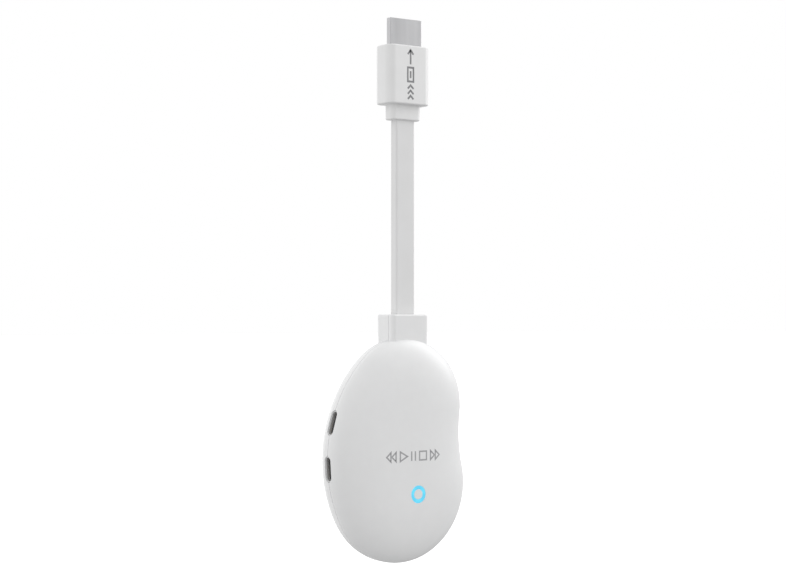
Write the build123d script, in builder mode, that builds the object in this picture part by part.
from build123d import *
import os
from math import atan2, cos, degrees, radians, sin, sqrt

os.makedirs("parts", exist_ok=True)

# A streaming media player that hangs from the video plug on its own short flat lead.
# Millimetres. +Z is up, along the plug; -Y is the front with the light ring; the two
# sockets open towards -X. The origin is the middle of the plug housing's shoulder, which
# is what stops against the screen's socket.

# ---- video plug ----
shell_width = 13.9           # metal shell, across
shell_thickness = 4.45       # metal shell, front to back
shell_reach = 9.8            # how far the shell stands out of the housing
shell_seat = 5.0             # how much of it the housing hides
shell_wall = 0.3
shell_flank = 2.3            # height of the straight sides, from the front face
shell_narrowing = 1.5        # how much narrower each side is at the back
housing_width = 18.5
housing_thickness = 10.0
housing_length = 21.0
housing_corner = 3.0
housing_wall = 1.6
housing_edge = 0.5           # rounding of the housing's end edges
collar_width = 12.8
collar_thickness = 5.6
collar_length = 5.5
collar_corner = 1.8
collar_flange = 2.0          # length of the collar's root inside the housing
contact_pitch = 1.0
contact_width = 0.45
contact_thickness = 0.25
front_contact_count = 10
tongue_slot = 1.5            # free height between the plug's two contact rows

# ---- lead ----
cable_width = 8.2
cable_thickness = 3.7
cable_corner = 0.7
cable_top_z = -housing_length - collar_length
cable_run = 69.7             # straight stretch between the collar and the neck

# ---- player's outline: four tangent arcs, and the neck above them ----
player_height = 80.3
upper_lobe_radius = 24.3
lower_lobe_radius = 27.8
upper_lobe_x = -1.6
lower_lobe_x = -3.6
flank_radius = 49.7          # full convex side, with the sockets
waist_radius = 51.8          # slightly hollow side
neck_width = 15.8
neck_thickness = 10.4
neck_height = 8.4            # above the top of the rounded case
neck_corner = 1.5
neck_edge = 0.6

# ---- covers ----
wall = 1.6
parting_y = -2.5             # plane in which the two covers meet
front_depth = 7.3            # parting plane to the top of the dome
dome_radius = 400.0
crown_round = 4.6            # rounding between the dome and the side
back_round = 6.0             # rounding between the flat back and the side
lip_thickness = 0.7
lip_height = 1.1
lip_gap = 0.05
slot_gap = 0.15              # round the lead where it passes through the neck

# ---- sockets ----
socket_width = 8.94
socket_height = 3.26
socket_depth = 7.3
socket_wall = 0.3
socket_recess = 0.45         # mouth below the outer surface
socket_pitch = 16.2
socket_rise = 1.0            # middle of the pair above the middle of the lobes
socket_gap = 0.12            # between a socket and its cut-out
socket_tongue_setback = 0.5  # tongue's tip behind the mouth
socket_tongue_width = 6.7
socket_tongue_thickness = 0.7
socket_tongue_reach = 4.9
socket_contact_setback = 0.5 # contacts behind the tongue's tip
socket_contact_count = 12
socket_contact_pitch = 0.5
socket_contact_width = 0.25
socket_contact_thickness = 0.06

# ---- light ring ----
ring_radius = 3.1
ring_bore = 1.85
ring_x = 0.0
ring_drop = 3.0              # below the lower lobe's centre
ring_gap = 0.05
gasket_thickness = 1.1
gasket_gap = 0.1
led_count = 3
led_circle = 2.45
led_size = 1.2
led_height = 0.6

# ---- board and what it carries ----
board_inset = 2.7            # board edge inside the outline
board_thickness = 1.0
board_screw_setback = 7.0    # screw circle inside each lobe
upper_screw_angles = (35, 150)
lower_screw_angles = (215, -38)
screw_shank = 0.7
screw_head = 1.4
screw_head_height = 0.8
screw_length = 3.2
screw_play = 0.2
boss_radius = 2.2
shield_width = 28.0
shield_height = 24.0
shield_depth = 1.8
shield_sheet = 0.2
shield_clearance = 1.5       # between the shield and the light gasket
shield_x = -2.0
processor_margin = 2.0       # from the shield's wall to the processor
memory_margin = 1.0          # from the shield's other wall to the memory
lid_skirt = 1.2
lid_play = 0.05
processor_size = 12.0
processor_thickness = 1.1
memory_width = 11.0
memory_height = 8.0
memory_thickness = 0.9
storage_width = 13.0
storage_height = 11.5
storage_thickness = 1.0
wifi_width = 14.0
wifi_height = 11.0
wifi_thickness = 1.6
wifi_aside = 4.7             # from the lower lobe's middle towards the sockets
controller_size = 4.0
controller_thickness = 0.8
inductor_size = 4.0
inductor_height = 2.0
power_margin = 0.24          # behind the sockets' innermost corner
inductor_pitch = 12.0
crystal_width = 3.2
crystal_height = 2.5
crystal_thickness = 0.7
capacitor_length = 1.6
capacitor_width = 0.8
capacitor_pitch = 2.6
capacitor_count = 6
antenna_length = 8.0
antenna_height = 3.0
antenna_stand = 2.2
antenna_aside = 10.8         # from the lower lobe's middle, away from the sockets
antenna_sheet = 0.3
spreader_inset = 8.5
spreader_thickness = 0.8
spreader_gap = 0.25          # in front of the sockets

# ---- lead's inner end ----
grommet_length = 6.0
grommet_play = 0.15
tail_length = 16.5           # lead below the neck's roof, to its stripped end
clamp_width = 17.0
clamp_height = 4.0
clamp_thickness = 1.2
clamp_screw_x = 6.6
clamp_boss_radius = 1.9
clamp_margin = 1.0           # lead's end below the clamp
wire_count = 7
wire_radius = 0.4
wire_pitch = 1.05
wire_length = 3.4
connector_width = 12.0
connector_height = 4.0
connector_thickness = 2.2
notch_play = 0.7

# ---- places worked out from those ----
neck_top = cable_top_z - cable_run
case_top = neck_top - neck_height
upper_lobe_z = case_top - upper_lobe_radius
lower_lobe_z = case_top - player_height + lower_lobe_radius
lobes_middle_z = (upper_lobe_z + lower_lobe_z) / 2
back_y = neck_thickness / 2
rear_depth = back_y - parting_y
front_y = parting_y - front_depth
floor_y = back_y - wall
board_front_y = parting_y + socket_height / 2
board_back_y = board_front_y + board_thickness
ring_z = lower_lobe_z - ring_drop
gasket_radius = ring_radius + gasket_gap + gasket_thickness
shield_bottom_z = ring_z + gasket_radius + shield_clearance
shield_z = shield_bottom_z + shield_height / 2
lid_y = board_front_y - shield_depth
lid_front_y = lid_y - shield_sheet
spreader_back_y = parting_y - socket_height / 2 - spreader_gap
socket_heights = {
    "upper": lobes_middle_z + socket_rise + socket_pitch / 2,
    "lower": lobes_middle_z + socket_rise - socket_pitch / 2,
}
neck_roof_z = neck_top - wall
tail_end_z = neck_roof_z - tail_length
clamp_z = tail_end_z + clamp_margin + clamp_height / 2
clamp_back_y = -cable_thickness / 2
connector_z = tail_end_z - wire_length - connector_height / 2
notch_bottom_z = tail_end_z - notch_play


def crossing(first, first_reach, second, second_reach):
    """The point at those distances from two centres, on the +X side of the line between them."""
    run_x = second[0] - first[0]
    run_z = second[1] - first[1]
    span = sqrt(run_x**2 + run_z**2)
    along = (first_reach**2 - second_reach**2 + span**2) / (2 * span)
    aside = sqrt(first_reach**2 - along**2)
    x = first[0] + along * run_x / span - aside * run_z / span
    z = first[1] + along * run_z / span + aside * run_x / span
    return (x, z)


upper_lobe = (upper_lobe_x, upper_lobe_z)
lower_lobe = (lower_lobe_x, lower_lobe_z)
flank_centre = crossing(
    upper_lobe, flank_radius - upper_lobe_radius, lower_lobe, flank_radius - lower_lobe_radius
)
waist_centre = crossing(
    upper_lobe, waist_radius + upper_lobe_radius, lower_lobe, waist_radius + lower_lobe_radius
)


def heading(start, end):
    """Direction from one point to another, in degrees."""
    return degrees(atan2(end[1] - start[1], end[0] - start[0]))


def turn(start, end):
    """Anticlockwise turn from one direction to another, from 0 to 360 degrees."""
    return (end - start) % 360


def front_plane(y):
    """Sketch plane facing the front, at a depth: its x is X, its y is Z, and it extrudes to -Y."""
    return Plane.XZ.offset(-y)


def player_outline(y, inset=0.0):
    """The case's outline at a depth, moved inwards by inset: two lobes, a full side and a waist."""
    upper_left = heading(flank_centre, upper_lobe)
    lower_left = heading(flank_centre, lower_lobe)
    upper_right = heading(upper_lobe, waist_centre)
    lower_right = heading(lower_lobe, waist_centre)
    waist_start = upper_right + 180
    waist_end = lower_right + 180
    upper_radius = upper_lobe_radius - inset
    lower_radius = lower_lobe_radius - inset
    with BuildSketch(front_plane(y)) as outline:
        with BuildLine():
            CenterArc(upper_lobe, upper_radius, upper_right, turn(upper_right, upper_left))
            CenterArc(flank_centre, flank_radius - inset, upper_left, turn(upper_left, lower_left))
            CenterArc(lower_lobe, lower_radius, lower_left, turn(lower_left, lower_right))
            CenterArc(waist_centre, waist_radius + inset, waist_start, turn(waist_start, waist_end))
        make_face()
    return outline.sketch


def flank_x(z):
    """Where the full side stands at a height."""
    return flank_centre[0] - sqrt(flank_radius**2 - (z - flank_centre[1]) ** 2)


def socket_plane(z, depth):
    """Plane square to the full side at a height, at a depth below it: its z points inwards."""
    skin = Vector(flank_x(z), parting_y, z)
    inwards = (Vector(flank_centre[0], parting_y, flank_centre[1]) - skin).normalized()
    return Plane(skin + inwards * depth, x_dir=(0, 1, 0), z_dir=inwards)


def lobe_point(centre, radius, angle):
    """A place on a lobe's own screw circle."""
    reach = radius - board_screw_setback
    return (centre[0] + reach * cos(radians(angle)), centre[1] + reach * sin(radians(angle)))


board_screw_places = [
    *(lobe_point(upper_lobe, upper_lobe_radius, angle) for angle in upper_screw_angles),
    *(lobe_point(lower_lobe, lower_lobe_radius, angle) for angle in lower_screw_angles),
]
clamp_screw_places = [(-clamp_screw_x, clamp_z), (clamp_screw_x, clamp_z)]

# The dome is a shallow sphere over the outline's middle, so it is lowest at the outline's ends,
# and the crown's rounding there leaves a strip of straight side.
dome_x = (upper_lobe_x + lower_lobe_x) / 2
dome_z = lobes_middle_z
dome_reach = player_height / 2
edge_depth = front_depth - dome_reach**2 / (2 * dome_radius)
crown = min(crown_round, edge_depth - wall / 4)


def front_form(inset):
    """Solid inside the domed half of the case, everywhere inset below its skin."""
    with BuildPart() as form:
        extrude(player_outline(parting_y, inset), amount=front_depth + wall)
        with Locations((dome_x, front_y + dome_radius, dome_z)):
            Sphere(dome_radius - inset, mode=Mode.INTERSECT)
        fillet(form.faces().sort_by(Axis.Y)[0].edges(), radius=crown - inset)
    return form.part


def rear_form(inset):
    """Solid inside the flat-backed half of the case, everywhere inset below its skin."""
    with BuildPart() as form:
        extrude(player_outline(parting_y, inset), amount=inset - rear_depth)
        fillet(form.faces().sort_by(Axis.Y)[-1].edges(), radius=back_round - inset)
    return form.part


def neck_form(inset, keep):
    """One half of the neck's block, inset below its skin; keep says on which side of the parting plane."""
    with BuildPart() as form:
        with BuildSketch(Plane.XY.offset(neck_top - inset)):
            RectangleRounded(
                neck_width - 2 * inset, neck_thickness - 2 * inset, max(neck_corner - inset, wall / 4)
            )
        extrude(amount=-(neck_height + neck_thickness / 2 - inset))
        if inset == 0:
            fillet(form.faces().sort_by(Axis.Z)[-1].edges(), radius=neck_edge)
        split(bisect_by=front_plane(parting_y), keep=keep)
    return form.part


def lip_form(outer_inset, inner_inset, height):
    """Band along the case's edge that stands forwards of the parting plane."""
    with BuildPart() as form:
        extrude(player_outline(parting_y, outer_inset), amount=height)
        extrude(player_outline(parting_y, inner_inset), amount=height, mode=Mode.SUBTRACT)
    return form.part


def lead_slot():
    """Cut the lead's way through the neck's roof, out of the part being built."""
    with BuildSketch(Plane.XY.offset(neck_top + wall)) as way:
        RectangleRounded(cable_width + 2 * slot_gap, cable_thickness + 2 * slot_gap, cable_corner)
    extrude(way.sketch, amount=-3 * wall, mode=Mode.SUBTRACT)


def socket_slots():
    """Cut both sockets' mouths out of the part being built."""
    for height in socket_heights.values():
        with BuildSketch(socket_plane(height, -socket_width)) as mouth:
            SlotOverall(socket_width + 2 * socket_gap, socket_height + 2 * socket_gap, rotation=90)
        extrude(mouth.sketch, amount=socket_width + socket_depth, mode=Mode.SUBTRACT)


front_skin = front_form(0)
front_core = front_form(wall)
front_neck = neck_form(0, Keep.TOP)
front_neck_core = neck_form(wall, Keep.TOP)
rear_skin = rear_form(0)
rear_core = rear_form(wall)
rear_neck = neck_form(0, Keep.BOTTOM)
rear_neck_core = neck_form(wall, Keep.BOTTOM)
lip = lip_form(wall - lip_thickness, wall, lip_height)
lip_room = lip_form(wall - lip_thickness - lip_gap, wall, lip_height + lip_gap)
with BuildPart() as neck_mouth:
    with BuildSketch(front_plane(parting_y)):
        with Locations((0, neck_roof_z - neck_height)):
            Rectangle(neck_width - 2 * wall, 2 * neck_height)
    extrude(amount=lip_height + lip_gap)

# ---- covers ----
with BuildPart() as front_cover:
    add(front_skin)
    add(front_neck)
    add(front_core, mode=Mode.SUBTRACT)
    add(front_neck_core, mode=Mode.SUBTRACT)
    add(lip_room, mode=Mode.SUBTRACT)
    lead_slot()
    socket_slots()
    with BuildSketch(front_plane(front_y - wall)):
        with Locations((ring_x, ring_z)):
            Circle(ring_radius + ring_gap)
    extrude(amount=-(front_depth + wall), mode=Mode.SUBTRACT)

with BuildPart() as rear_cover:
    add(rear_skin)
    add(rear_neck)
    add(rear_core, mode=Mode.SUBTRACT)
    add(rear_neck_core, mode=Mode.SUBTRACT)
    add(lip)
    add(neck_mouth.part, mode=Mode.SUBTRACT)
    lead_slot()
    socket_slots()
    with BuildSketch(front_plane(board_back_y)):
        with Locations(*board_screw_places):
            Circle(boss_radius)
    extrude(amount=-(floor_y - board_back_y))
    with BuildSketch(front_plane(clamp_back_y)):
        with Locations(*clamp_screw_places):
            Circle(clamp_boss_radius)
    extrude(amount=-(floor_y - clamp_back_y))
    with BuildSketch(front_plane(cable_thickness / 2)):
        with Locations((0, clamp_z)):
            Rectangle(cable_width, clamp_height)
    extrude(amount=-(floor_y - cable_thickness / 2))
    with BuildSketch(front_plane(board_back_y)):
        with Locations(*board_screw_places):
            Circle(screw_shank)
    extrude(amount=-(screw_length - board_thickness), mode=Mode.SUBTRACT)
    with BuildSketch(front_plane(clamp_back_y)):
        with Locations(*clamp_screw_places):
            Circle(screw_shank)
    extrude(amount=-(screw_length - clamp_thickness), mode=Mode.SUBTRACT)

# ---- light ring ----
with BuildPart() as light_ring:
    with BuildSketch(front_plane(board_front_y - led_height - ring_gap)):
        with Locations((ring_x, ring_z)):
            Circle(ring_radius)
            Circle(ring_bore, mode=Mode.SUBTRACT)
    extrude(amount=front_depth)
    add(front_skin, mode=Mode.INTERSECT)

with BuildPart() as light_ring_cap:
    with BuildSketch(front_plane(front_y + 2 * wall)):
        with Locations((ring_x, ring_z)):
            Circle(ring_bore)
    extrude(amount=3 * wall)
    add(front_skin, mode=Mode.INTERSECT)

with BuildPart() as light_gasket:
    with BuildSketch(front_plane(board_front_y)) as ring_band:
        with Locations((ring_x, ring_z)):
            Circle(gasket_radius)
            Circle(ring_radius + gasket_gap, mode=Mode.SUBTRACT)
    extrude(amount=front_depth)
    add(front_form(wall + gasket_gap), mode=Mode.INTERSECT)
    extrude(ring_band.sketch, amount=board_front_y - parting_y)

with BuildPart() as status_leds:
    with BuildSketch(front_plane(board_front_y)):
        with Locations((ring_x, ring_z)):
            with PolarLocations(led_circle - led_size / 4, led_count, start_angle=90):
                Rectangle(led_size / 2, led_size)
    extrude(amount=led_height)

# ---- board ----
with BuildPart() as main_board:
    extrude(player_outline(board_front_y, board_inset), amount=-board_thickness)
    with BuildSketch(front_plane(board_front_y)):
        with Locations((0, notch_bottom_z + neck_thickness)):
            Rectangle(clamp_width + 2 * notch_play, 2 * neck_thickness)
        with Locations(*board_screw_places):
            Circle(screw_shank + screw_play)
    extrude(amount=-board_thickness, mode=Mode.SUBTRACT)

with BuildPart() as shield_frame:
    with BuildSketch(front_plane(board_front_y)):
        with Locations((shield_x, shield_z)):
            Rectangle(shield_width, shield_height)
            Rectangle(shield_width - 2 * shield_sheet, shield_height - 2 * shield_sheet, mode=Mode.SUBTRACT)
    extrude(amount=shield_depth)

lid_grow = 2 * (shield_sheet + lid_play)
with BuildPart() as shield_lid:
    with BuildSketch(front_plane(lid_y + lid_skirt)):
        with Locations((shield_x, shield_z)):
            Rectangle(shield_width + lid_grow, shield_height + lid_grow)
    extrude(amount=lid_skirt + shield_sheet)
    with BuildSketch(front_plane(lid_y + lid_skirt)):
        with Locations((shield_x, shield_z)):
            Rectangle(shield_width + 2 * lid_play, shield_height + 2 * lid_play)
    extrude(amount=lid_skirt, mode=Mode.SUBTRACT)
    fillet(shield_lid.edges().filter_by(Axis.Y).group_by(SortBy.LENGTH)[-1], radius=shield_sheet)

shield_reach = shield_width / 2 - shield_sheet
processor_x = shield_x - shield_reach + processor_margin + processor_size / 2
memory_x = shield_x + shield_reach - memory_margin - memory_width / 2
pad_back_y = board_front_y - processor_thickness


def chip(width, height, thickness, x, z, y=board_front_y, facing=1):
    """Flat package standing on a board face; facing is 1 towards the front and -1 towards the back."""
    with BuildPart() as block:
        with BuildSketch(front_plane(y)):
            with Locations((x, z)):
                Rectangle(width, height)
        extrude(amount=facing * thickness)
    return block


processor = chip(processor_size, processor_size, processor_thickness, processor_x, shield_z)
memory_chip = chip(memory_width, memory_height, memory_thickness, memory_x, shield_z)
storage_chip = chip(
    storage_width, storage_height, storage_thickness, shield_x, shield_z, board_back_y, facing=-1
)
crystal_z = shield_z + processor_size / 2 + crystal_height
clock_crystal = chip(crystal_width, crystal_height, crystal_thickness, processor_x, crystal_z)
wifi_z = ring_z - gasket_radius - shield_clearance - wifi_height / 2
wifi_module = chip(wifi_width, wifi_height, wifi_thickness, lower_lobe_x - wifi_aside, wifi_z)
socket_inner_x = max(
    socket_plane(height, socket_recess + socket_depth).from_local_coords((0, end, 0)).X
    for height in socket_heights.values()
    for end in (-socket_width / 2, socket_width / 2)
)
power_x = socket_inner_x + power_margin + controller_size / 2
power_z = lobes_middle_z + socket_rise
power_controller = chip(controller_size, controller_size, controller_thickness, power_x, power_z)
processor_pad = chip(
    processor_size, processor_size, shield_depth - processor_thickness, processor_x, shield_z, pad_back_y
)
spreader_pad = chip(
    2 * processor_size, processor_size, lid_front_y - spreader_back_y, shield_x, shield_z, lid_front_y
)

with BuildPart() as power_inductors:
    with BuildSketch(front_plane(board_front_y)):
        with Locations((power_x, power_z)):
            with GridLocations(0, inductor_pitch, 1, 2):
                Rectangle(inductor_size, inductor_size)
    extrude(amount=inductor_height)

with BuildPart() as filter_capacitors:
    with BuildSketch(front_plane(board_front_y)):
        with Locations((0, connector_z - connector_height)):
            with GridLocations(capacitor_pitch, 0, capacitor_count, 1):
                Rectangle(capacitor_width, capacitor_length)
    extrude(amount=capacitor_width)

antenna_x = lower_lobe_x + antenna_aside
antenna_z = lower_lobe_z - lower_lobe_radius + board_inset + 2 * antenna_height
with BuildPart() as board_antenna:
    with BuildSketch(front_plane(board_front_y - antenna_stand)):
        with Locations((antenna_x, antenna_z)):
            Rectangle(antenna_length, antenna_height)
    extrude(amount=antenna_sheet)
    with BuildSketch(front_plane(board_front_y)):
        with Locations((antenna_x, antenna_z + (antenna_height - antenna_sheet) / 2)):
            with GridLocations(antenna_length / 2, 0, 2, 1):
                Rectangle(antenna_sheet * 3, antenna_sheet)
    extrude(amount=antenna_stand)

with BuildPart() as heat_spreader:
    extrude(player_outline(spreader_back_y, spreader_inset), amount=spreader_thickness)
    with BuildSketch(front_plane(spreader_back_y)):
        with Locations((ring_x, ring_z)):
            Circle(gasket_radius + gasket_gap)
    extrude(amount=spreader_thickness, mode=Mode.SUBTRACT)


def screws(places, head_back_y, seat):
    """Pan-head screws whose heads rest on a plane and whose shanks run towards the back."""
    with BuildPart() as group:
        with BuildSketch(front_plane(head_back_y)):
            with Locations(*places):
                Circle(screw_head)
        extrude(amount=screw_head_height)
        fillet(group.faces().group_by(Axis.Y)[0].edges(), radius=screw_head_height / 3)
        with BuildSketch(front_plane(head_back_y)):
            with Locations(*places):
                Circle(screw_shank)
        extrude(amount=-seat)
        with BuildSketch(front_plane(head_back_y - screw_head_height)):
            with Locations(*places):
                Rectangle(screw_head, screw_shank / 3)
                Rectangle(screw_shank / 3, screw_head)
        extrude(amount=-screw_head_height / 2, mode=Mode.SUBTRACT)
    return group


board_screws = screws(board_screw_places, board_front_y, screw_length)
clamp_screws = screws(clamp_screw_places, clamp_back_y - clamp_thickness, screw_length)

# ---- sockets ----
sockets = {}
inner_width = socket_width - 2 * socket_wall
inner_height = socket_height - 2 * socket_wall
tongue_tip = socket_recess + socket_tongue_setback
socket_back = socket_recess + socket_depth - socket_wall
contact_spread = socket_tongue_thickness + socket_contact_thickness
for place, height in socket_heights.items():
    with BuildPart() as socket_shell:
        with BuildSketch(socket_plane(height, socket_recess)):
            SlotOverall(socket_width, socket_height, rotation=90)
        extrude(amount=socket_depth)
        with BuildSketch(socket_plane(height, socket_recess)):
            SlotOverall(inner_width, inner_height, rotation=90)
        extrude(amount=socket_depth - socket_wall, mode=Mode.SUBTRACT)
    with BuildPart() as socket_tongue:
        with BuildSketch(socket_plane(height, tongue_tip + socket_tongue_reach)):
            SlotOverall(inner_width, inner_height, rotation=90)
        extrude(amount=socket_back - tongue_tip - socket_tongue_reach)
        with BuildSketch(socket_plane(height, tongue_tip)):
            Rectangle(socket_tongue_thickness, socket_tongue_width)
        extrude(amount=socket_tongue_reach)
    with BuildPart() as socket_contacts:
        with BuildSketch(socket_plane(height, tongue_tip + socket_contact_setback)):
            with GridLocations(contact_spread, socket_contact_pitch, 2, socket_contact_count):
                Rectangle(socket_contact_thickness, socket_contact_width)
        extrude(amount=socket_tongue_reach - socket_contact_setback)
    sockets[place + "_socket_shell"] = socket_shell
    sockets[place + "_socket_tongue"] = socket_tongue
    sockets[place + "_socket_contacts"] = socket_contacts

# ---- lead's inner end ----
with BuildPart() as cable_grommet:
    with BuildSketch(Plane.XY.offset(neck_roof_z)):
        RectangleRounded(
            neck_width - 2 * wall - 2 * grommet_play,
            neck_thickness - 2 * wall - 2 * grommet_play,
            max(neck_corner - wall, wall / 4),
        )
        RectangleRounded(cable_width, cable_thickness, cable_corner, mode=Mode.SUBTRACT)
    extrude(amount=-grommet_length)

with BuildPart() as cable_tail:
    with BuildSketch(Plane.XY.offset(neck_roof_z)):
        RectangleRounded(cable_width, cable_thickness, cable_corner)
    extrude(amount=-tail_length)

with BuildPart() as cable_clamp:
    with BuildSketch(front_plane(clamp_back_y)):
        with Locations((0, clamp_z)):
            RectangleRounded(clamp_width, clamp_height, clamp_height / 4)
        with Locations(*clamp_screw_places):
            Circle(screw_shank + screw_play, mode=Mode.SUBTRACT)
    extrude(amount=clamp_thickness)

wire_y = -cable_thickness / 2 + 1.25 * wire_radius
with BuildPart() as cable_wires:
    with BuildSketch(Plane.XY.offset(tail_end_z)):
        with Locations((0, wire_y)):
            with GridLocations(wire_pitch, 0, wire_count, 1):
                Circle(wire_radius)
    extrude(amount=-wire_length)

cable_connector = chip(connector_width, connector_height, connector_thickness, 0, connector_z)

# ---- lead ----
# The lead's route, from inside the neck's roof up to the collar: it hangs straight.
lead_points = [
    (0, 0, neck_roof_z),
    (0, 0, cable_top_z),
]
with BuildPart() as cable_jacket:
    with BuildSketch(Plane.XY.offset(lead_points[0][2])):
        RectangleRounded(cable_width, cable_thickness, cable_corner)
    extrude(amount=lead_points[1][2] - lead_points[0][2])


def shell_profile(z, inset=0.0):
    """The plug's metal section at a height: wide at the front, with slanted flanks to the back."""
    half = shell_width / 2 - inset
    front = -shell_thickness / 2 + inset
    back = shell_thickness / 2 - inset
    bend = -shell_thickness / 2 + shell_flank - inset * (sqrt(2) - 1)
    foot = half - shell_narrowing
    with BuildSketch(Plane.XY.offset(z)) as profile:
        with BuildLine():
            Polyline(
                (-half, front),
                (half, front),
                (half, bend),
                (foot, bend + shell_narrowing),
                (foot, back),
                (-foot, back),
                (-foot, bend + shell_narrowing),
                (-half, bend),
                close=True,
            )
        make_face()
        if inset == 0:
            fillet(profile.vertices(), radius=shell_wall)
    return profile.sketch


# ---- video plug ----
with BuildPart() as plug_shell:
    extrude(shell_profile(-shell_seat), amount=shell_seat + shell_reach)
    extrude(
        shell_profile(-shell_seat, shell_wall), amount=shell_seat + shell_reach, mode=Mode.SUBTRACT
    )

with BuildPart() as plug_insulator:
    extrude(shell_profile(-shell_seat, shell_wall), amount=shell_seat + shell_reach - 2 * shell_wall)
    with BuildSketch(Plane.XY.offset(shell_wall)):
        Rectangle(shell_width - 2 * shell_narrowing - 4 * shell_wall, tongue_slot)
    extrude(amount=shell_reach, mode=Mode.SUBTRACT)

with BuildPart() as plug_contacts:
    with BuildSketch(Plane.XY.offset(2 * shell_wall)):
        with Locations((0, -tongue_slot / 2 + contact_thickness / 2)):
            with GridLocations(contact_pitch, 0, front_contact_count, 1):
                Rectangle(contact_width, contact_thickness)
        with Locations((0, tongue_slot / 2 - contact_thickness / 2)):
            with GridLocations(contact_pitch, 0, front_contact_count - 1, 1):
                Rectangle(contact_width, contact_thickness)
    extrude(amount=shell_reach - 5 * shell_wall)

pocket_width = housing_width - 2 * housing_wall
pocket_thickness = housing_thickness - 2 * housing_wall
pocket_corner = housing_corner - housing_wall
pocket_length = housing_length - 2 * housing_wall
with BuildPart() as plug_housing:
    with BuildSketch():
        RectangleRounded(housing_width, housing_thickness, housing_corner)
    extrude(amount=-housing_length)
    fillet(plug_housing.faces().filter_by(Axis.Z).edges(), radius=housing_edge)
    with BuildSketch(Plane.XY.offset(-housing_wall)):
        RectangleRounded(pocket_width, pocket_thickness, pocket_corner)
    extrude(amount=-pocket_length, mode=Mode.SUBTRACT)
    extrude(shell_profile(0), amount=-2 * housing_wall, mode=Mode.SUBTRACT)
    with BuildSketch(Plane.XY.offset(-housing_length)):
        RectangleRounded(collar_width, collar_thickness, collar_corner)
    extrude(amount=2 * housing_wall, mode=Mode.SUBTRACT)

with BuildPart() as plug_collar:
    with BuildSketch(Plane.XY.offset(cable_top_z)):
        RectangleRounded(collar_width, collar_thickness, collar_corner)
    extrude(amount=collar_length + housing_wall)
    fillet(plug_collar.faces().sort_by(Axis.Z)[0].edges(), radius=housing_edge)
    with BuildSketch(Plane.XY.offset(-housing_length + housing_wall)):
        RectangleRounded(pocket_width, pocket_thickness, pocket_corner)
    extrude(amount=collar_flange)

block_bottom_z = -housing_length + housing_wall + collar_flange
with BuildPart() as plug_inner_block:
    with BuildSketch(Plane.XY.offset(block_bottom_z)):
        RectangleRounded(pocket_width, pocket_thickness, pocket_corner)
    extrude(amount=-housing_wall - block_bottom_z)
    extrude(shell_profile(-shell_seat), amount=shell_seat, mode=Mode.SUBTRACT)

pieces = {
    "front_cover": front_cover,
    "rear_cover": rear_cover,
    "light_ring": light_ring,
    "light_ring_cap": light_ring_cap,
    "light_gasket": light_gasket,
    "status_leds": status_leds,
    "main_board": main_board,
    "shield_frame": shield_frame,
    "shield_lid": shield_lid,
    "processor": processor,
    "processor_pad": processor_pad,
    "spreader_pad": spreader_pad,
    "heat_spreader": heat_spreader,
    "memory_chip": memory_chip,
    "storage_chip": storage_chip,
    "clock_crystal": clock_crystal,
    "wifi_module": wifi_module,
    "power_controller": power_controller,
    "power_inductors": power_inductors,
    "filter_capacitors": filter_capacitors,
    "board_antenna": board_antenna,
    "board_screws": board_screws,
    "cable_grommet": cable_grommet,
    "cable_tail": cable_tail,
    "cable_clamp": cable_clamp,
    "clamp_screws": clamp_screws,
    "cable_wires": cable_wires,
    "cable_connector": cable_connector,
    "cable_jacket": cable_jacket,
    "plug_collar": plug_collar,
    "plug_housing": plug_housing,
    "plug_inner_block": plug_inner_block,
    "plug_shell": plug_shell,
    "plug_insulator": plug_insulator,
    "plug_contacts": plug_contacts,
    **sockets,
}
for name, piece in pieces.items():
    piece.part.label = name
    export_step(piece.part, f"parts/{name}.step")
